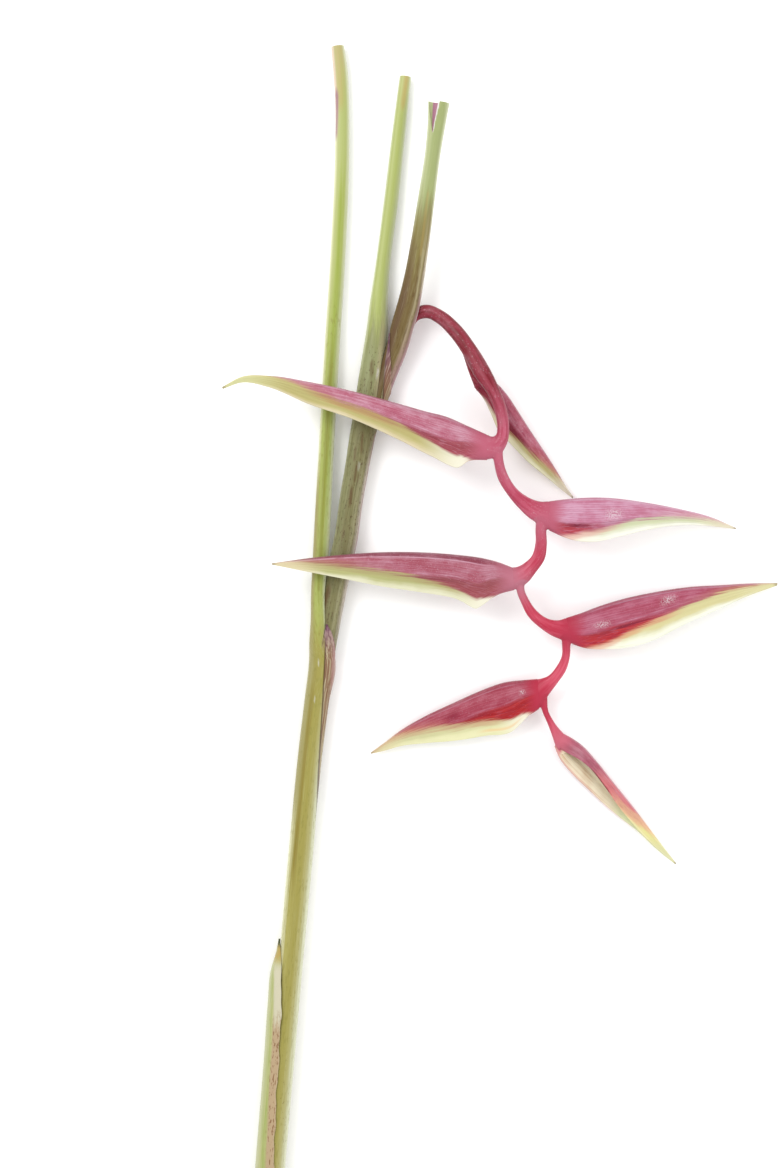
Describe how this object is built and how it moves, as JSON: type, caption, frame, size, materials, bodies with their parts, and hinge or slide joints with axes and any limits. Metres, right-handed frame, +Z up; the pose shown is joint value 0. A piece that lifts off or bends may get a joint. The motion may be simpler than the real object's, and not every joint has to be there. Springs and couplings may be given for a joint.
{
  "type": "hanging lobster claw heliconia",
  "caption": "Cut stem of a hanging heliconia, lying down: a false stem with cut leaf stalks and a zigzag crimson axis with boat-shaped pink bracts, edged and tipped in yellow-green.",
  "frame": {"origin": "on the surface the stem lies on, under the middle of its bounding box", "axes": "+Y along the stem, from its cut foot to its cut leaf stalks; +X to the side the flower head hangs to; +Z up"},
  "size_m": [0.486, 1.2116, 0.0537],
  "materials": {
    "outer_leaf_stalk": "satin",
    "middle_leaf_stalk": "satin",
    "inner_leaf_stalk": "satin",
    "old_sheath": "matte",
    "flower_stalk": "satin",
    "bract": "waxy satin"
  },
  "bodies": {
    "root": {"leaf_1": "outer_leaf_stalk", "leaf_2": "middle_leaf_stalk", "leaf_3": "inner_leaf_stalk", "basal_sheath": "old_sheath", "flower_stalk": "flower_stalk", "bract_1": "bract", "bract_2": "bract", "bract_3": "bract", "bract_4": "bract", "bract_5": "bract", "bract_6": "bract", "bract_7": "bract"}
  },
  "joints": []
}
